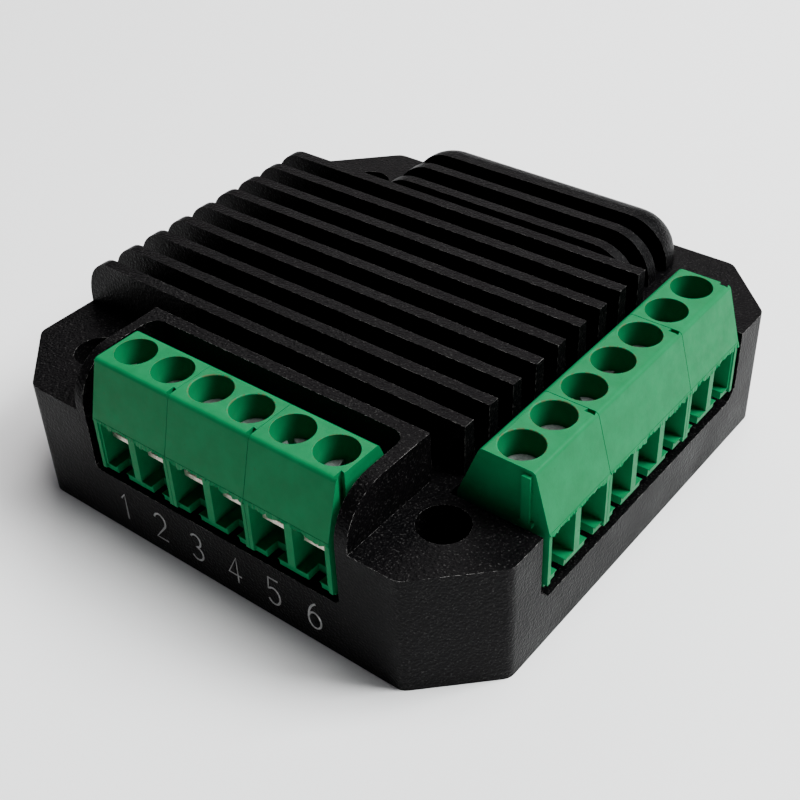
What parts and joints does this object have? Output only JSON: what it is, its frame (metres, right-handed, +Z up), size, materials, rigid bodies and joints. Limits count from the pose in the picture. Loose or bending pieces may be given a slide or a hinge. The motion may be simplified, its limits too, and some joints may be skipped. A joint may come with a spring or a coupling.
{
  "type": "stepper motor driver module",
  "caption": "Square finned driver module for the back of a stepper motor, with rows of screw terminals along two edges and a mounting hole in each cut corner.",
  "frame": {"origin": "centre of the 42 mm square footprint, on the bottom face", "axes": "+Z up out of the finned top, -Y out of the front terminal row, +X out of the right terminal row and along the fins"},
  "size_m": [0.0422, 0.042, 0.0138],
  "materials": {
    "black_housing": "die-cast aluminium, fine-grained black coating worn at the edges",
    "cover": "flat sheet, matte black coating",
    "board": "glass-epoxy board with black solder mask",
    "green_plastic": "moulded nylon, semi-matte emerald green",
    "screw": "zinc-plated, dulled",
    "clamp": "nickel-plated stamping",
    "contact": "tin-plated stamping",
    "dark_screw": "black oxide",
    "chip": "moulded epoxy",
    "pad": "soft silicone sheet",
    "ferrite": "pressed ferrite",
    "capacitor": "moulded tantalum case"
  },
  "bodies": {
    "module": {"heatsink_housing": "black_housing", "bottom_cover": "cover", "circuit_board": "board", "cover_screw_1": "dark_screw", "cover_screw_2": "dark_screw", "cover_screw_3": "dark_screw", "cover_screw_4": "dark_screw", "motor_driver_chip": "chip", "controller_chip": "chip", "sense_resistor_1": "chip", "sense_resistor_2": "chip", "thermal_pad": "pad", "regulator_inductor": "ferrite", "input_capacitor_1": "capacitor", "input_capacitor_2": "capacitor", "front_terminal_block_1": "green_plastic", "front_terminal_block_2": "green_plastic", "front_terminal_block_3": "green_plastic", "right_terminal_block_1": "green_plastic", "right_terminal_block_2": "green_plastic", "right_terminal_block_3": "green_plastic", "front_contact_1": "contact", "front_contact_2": "contact", "front_contact_3": "contact", "front_contact_4": "contact", "front_contact_5": "contact", "front_contact_6": "contact", "right_contact_1": "contact", "right_contact_2": "contact", "right_contact_3": "contact", "right_contact_4": "contact", "right_contact_5": "contact", "right_contact_6": "contact", "right_contact_7": "contact"},
    "front_screw_1": {"front_terminal_screw_1": "screw"},
    "front_clamp_1": {"front_clamp_1": "clamp"},
    "front_screw_2": {"front_terminal_screw_2": "screw"},
    "front_clamp_2": {"front_clamp_2": "clamp"},
    "front_screw_3": {"front_terminal_screw_3": "screw"},
    "front_clamp_3": {"front_clamp_3": "clamp"},
    "front_screw_4": {"front_terminal_screw_4": "screw"},
    "front_clamp_4": {"front_clamp_4": "clamp"},
    "front_screw_5": {"front_terminal_screw_5": "screw"},
    "front_clamp_5": {"front_clamp_5": "clamp"},
    "front_screw_6": {"front_terminal_screw_6": "screw"},
    "front_clamp_6": {"front_clamp_6": "clamp"},
    "right_screw_1": {"right_terminal_screw_1": "screw"},
    "right_clamp_1": {"right_clamp_1": "clamp"},
    "right_screw_2": {"right_terminal_screw_2": "screw"},
    "right_clamp_2": {"right_clamp_2": "clamp"},
    "right_screw_3": {"right_terminal_screw_3": "screw"},
    "right_clamp_3": {"right_clamp_3": "clamp"},
    "right_screw_4": {"right_terminal_screw_4": "screw"},
    "right_clamp_4": {"right_clamp_4": "clamp"},
    "right_screw_5": {"right_terminal_screw_5": "screw"},
    "right_clamp_5": {"right_clamp_5": "clamp"},
    "right_screw_6": {"right_terminal_screw_6": "screw"},
    "right_clamp_6": {"right_clamp_6": "clamp"},
    "right_screw_7": {"right_terminal_screw_7": "screw"},
    "right_clamp_7": {"right_clamp_7": "clamp"}
  },
  "joints": [
    {"name": "front_screw_turn_1", "type": "hinge", "parent": "module", "child": "front_screw_1", "pos_m": [-0.00825, -0.01765, 0.0108], "axis": [0, 0, 1], "range_deg": [0, 900]},
    {"name": "front_clamp_lift_1", "type": "slide", "parent": "module", "child": "front_clamp_1", "axis": [0, 0, -1], "range_m": [0, 0.001]},
    {"name": "front_screw_turn_2", "type": "hinge", "parent": "module", "child": "front_screw_2", "pos_m": [-0.00475, -0.01765, 0.0108], "axis": [0, 0, 1], "range_deg": [0, 900]},
    {"name": "front_clamp_lift_2", "type": "slide", "parent": "module", "child": "front_clamp_2", "axis": [0, 0, -1], "range_m": [0, 0.001]},
    {"name": "front_screw_turn_3", "type": "hinge", "parent": "module", "child": "front_screw_3", "pos_m": [-0.00125, -0.01765, 0.0108], "axis": [0, 0, 1], "range_deg": [0, 900]},
    {"name": "front_clamp_lift_3", "type": "slide", "parent": "module", "child": "front_clamp_3", "axis": [0, 0, -1], "range_m": [0, 0.001]},
    {"name": "front_screw_turn_4", "type": "hinge", "parent": "module", "child": "front_screw_4", "pos_m": [0.00225, -0.01765, 0.0108], "axis": [0, 0, 1], "range_deg": [0, 900]},
    {"name": "front_clamp_lift_4", "type": "slide", "parent": "module", "child": "front_clamp_4", "axis": [0, 0, -1], "range_m": [0, 0.001]},
    {"name": "front_screw_turn_5", "type": "hinge", "parent": "module", "child": "front_screw_5", "pos_m": [0.00575, -0.01765, 0.0108], "axis": [0, 0, 1], "range_deg": [0, 900]},
    {"name": "front_clamp_lift_5", "type": "slide", "parent": "module", "child": "front_clamp_5", "axis": [0, 0, -1], "range_m": [0, 0.001]},
    {"name": "front_screw_turn_6", "type": "hinge", "parent": "module", "child": "front_screw_6", "pos_m": [0.00925, -0.01765, 0.0108], "axis": [0, 0, 1], "range_deg": [0, 900]},
    {"name": "front_clamp_lift_6", "type": "slide", "parent": "module", "child": "front_clamp_6", "axis": [0, 0, -1], "range_m": [0, 0.001]},
    {"name": "right_screw_turn_1", "type": "hinge", "parent": "module", "child": "right_screw_1", "pos_m": [0.0179, -0.0108, 0.0108], "axis": [0, 0, 1], "range_deg": [0, 900]},
    {"name": "right_clamp_lift_1", "type": "slide", "parent": "module", "child": "right_clamp_1", "axis": [0, 0, -1], "range_m": [0, 0.001]},
    {"name": "right_screw_turn_2", "type": "hinge", "parent": "module", "child": "right_screw_2", "pos_m": [0.0179, -0.0073, 0.0108], "axis": [0, 0, 1], "range_deg": [0, 900]},
    {"name": "right_clamp_lift_2", "type": "slide", "parent": "module", "child": "right_clamp_2", "axis": [0, 0, -1], "range_m": [0, 0.001]},
    {"name": "right_screw_turn_3", "type": "hinge", "parent": "module", "child": "right_screw_3", "pos_m": [0.0179, -0.0038, 0.0108], "axis": [0, 0, 1], "range_deg": [0, 900]},
    {"name": "right_clamp_lift_3", "type": "slide", "parent": "module", "child": "right_clamp_3", "axis": [0, 0, -1], "range_m": [0, 0.001]},
    {"name": "right_screw_turn_4", "type": "hinge", "parent": "module", "child": "right_screw_4", "pos_m": [0.0179, -0.0003, 0.0108], "axis": [0, 0, 1], "range_deg": [0, 900]},
    {"name": "right_clamp_lift_4", "type": "slide", "parent": "module", "child": "right_clamp_4", "axis": [0, 0, -1], "range_m": [0, 0.001]},
    {"name": "right_screw_turn_5", "type": "hinge", "parent": "module", "child": "right_screw_5", "pos_m": [0.0179, 0.0032, 0.0108], "axis": [0, 0, 1], "range_deg": [0, 900]},
    {"name": "right_clamp_lift_5", "type": "slide", "parent": "module", "child": "right_clamp_5", "axis": [0, 0, -1], "range_m": [0, 0.001]},
    {"name": "right_screw_turn_6", "type": "hinge", "parent": "module", "child": "right_screw_6", "pos_m": [0.0179, 0.0067, 0.0108], "axis": [0, 0, 1], "range_deg": [0, 900]},
    {"name": "right_clamp_lift_6", "type": "slide", "parent": "module", "child": "right_clamp_6", "axis": [0, 0, -1], "range_m": [0, 0.001]},
    {"name": "right_screw_turn_7", "type": "hinge", "parent": "module", "child": "right_screw_7", "pos_m": [0.0179, 0.0102, 0.0108], "axis": [0, 0, 1], "range_deg": [0, 900]},
    {"name": "right_clamp_lift_7", "type": "slide", "parent": "module", "child": "right_clamp_7", "axis": [0, 0, -1], "range_m": [0, 0.001]}
  ],
  "couplings": [
    {"joint": "front_screw_turn_1", "follows": "front_clamp_lift_1", "rad_per_m": 15708},
    {"joint": "front_screw_turn_2", "follows": "front_clamp_lift_2", "rad_per_m": 15708},
    {"joint": "front_screw_turn_3", "follows": "front_clamp_lift_3", "rad_per_m": 15708},
    {"joint": "front_screw_turn_4", "follows": "front_clamp_lift_4", "rad_per_m": 15708},
    {"joint": "front_screw_turn_5", "follows": "front_clamp_lift_5", "rad_per_m": 15708},
    {"joint": "front_screw_turn_6", "follows": "front_clamp_lift_6", "rad_per_m": 15708},
    {"joint": "right_screw_turn_1", "follows": "right_clamp_lift_1", "rad_per_m": 15708},
    {"joint": "right_screw_turn_2", "follows": "right_clamp_lift_2", "rad_per_m": 15708},
    {"joint": "right_screw_turn_3", "follows": "right_clamp_lift_3", "rad_per_m": 15708},
    {"joint": "right_screw_turn_4", "follows": "right_clamp_lift_4", "rad_per_m": 15708},
    {"joint": "right_screw_turn_5", "follows": "right_clamp_lift_5", "rad_per_m": 15708},
    {"joint": "right_screw_turn_6", "follows": "right_clamp_lift_6", "rad_per_m": 15708},
    {"joint": "right_screw_turn_7", "follows": "right_clamp_lift_7", "rad_per_m": 15708}
  ]
}
